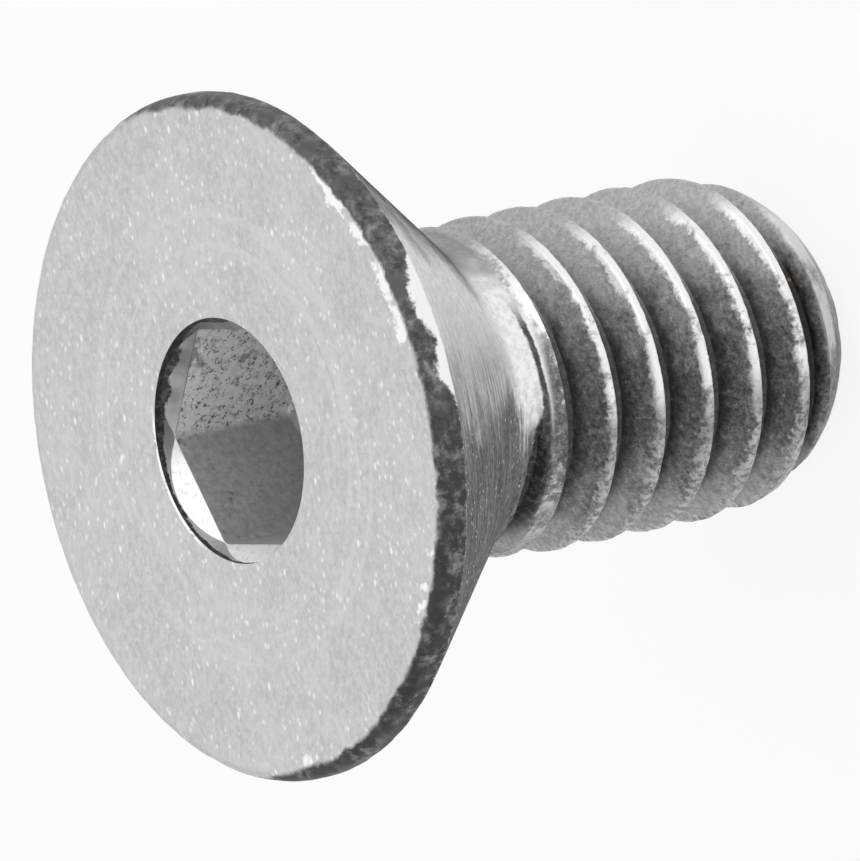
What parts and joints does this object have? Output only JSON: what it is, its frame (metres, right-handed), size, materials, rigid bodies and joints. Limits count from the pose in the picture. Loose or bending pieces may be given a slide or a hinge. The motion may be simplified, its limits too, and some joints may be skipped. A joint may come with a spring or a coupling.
{
  "type": "countersunk socket screw",
  "caption": "Short countersunk head screw with a hexagon socket, a flat face, a conical seat and a coarse machine thread cut right up to the head.",
  "frame": {"origin": "centre of the flat end of the thread", "axes": "+Z along the screw's axis, from the thread's end to the face of the head; +Y through two opposite corners of the hexagon socket"},
  "size_m": [0.008, 0.008, 0.0078],
  "materials": {
    "zinc_plated_steel": "worn zinc plating, satin face, chipped dark rim, burnished neck and bright thread crests"
  },
  "bodies": {
    "root": {"screw": "zinc_plated_steel"}
  },
  "joints": []
}
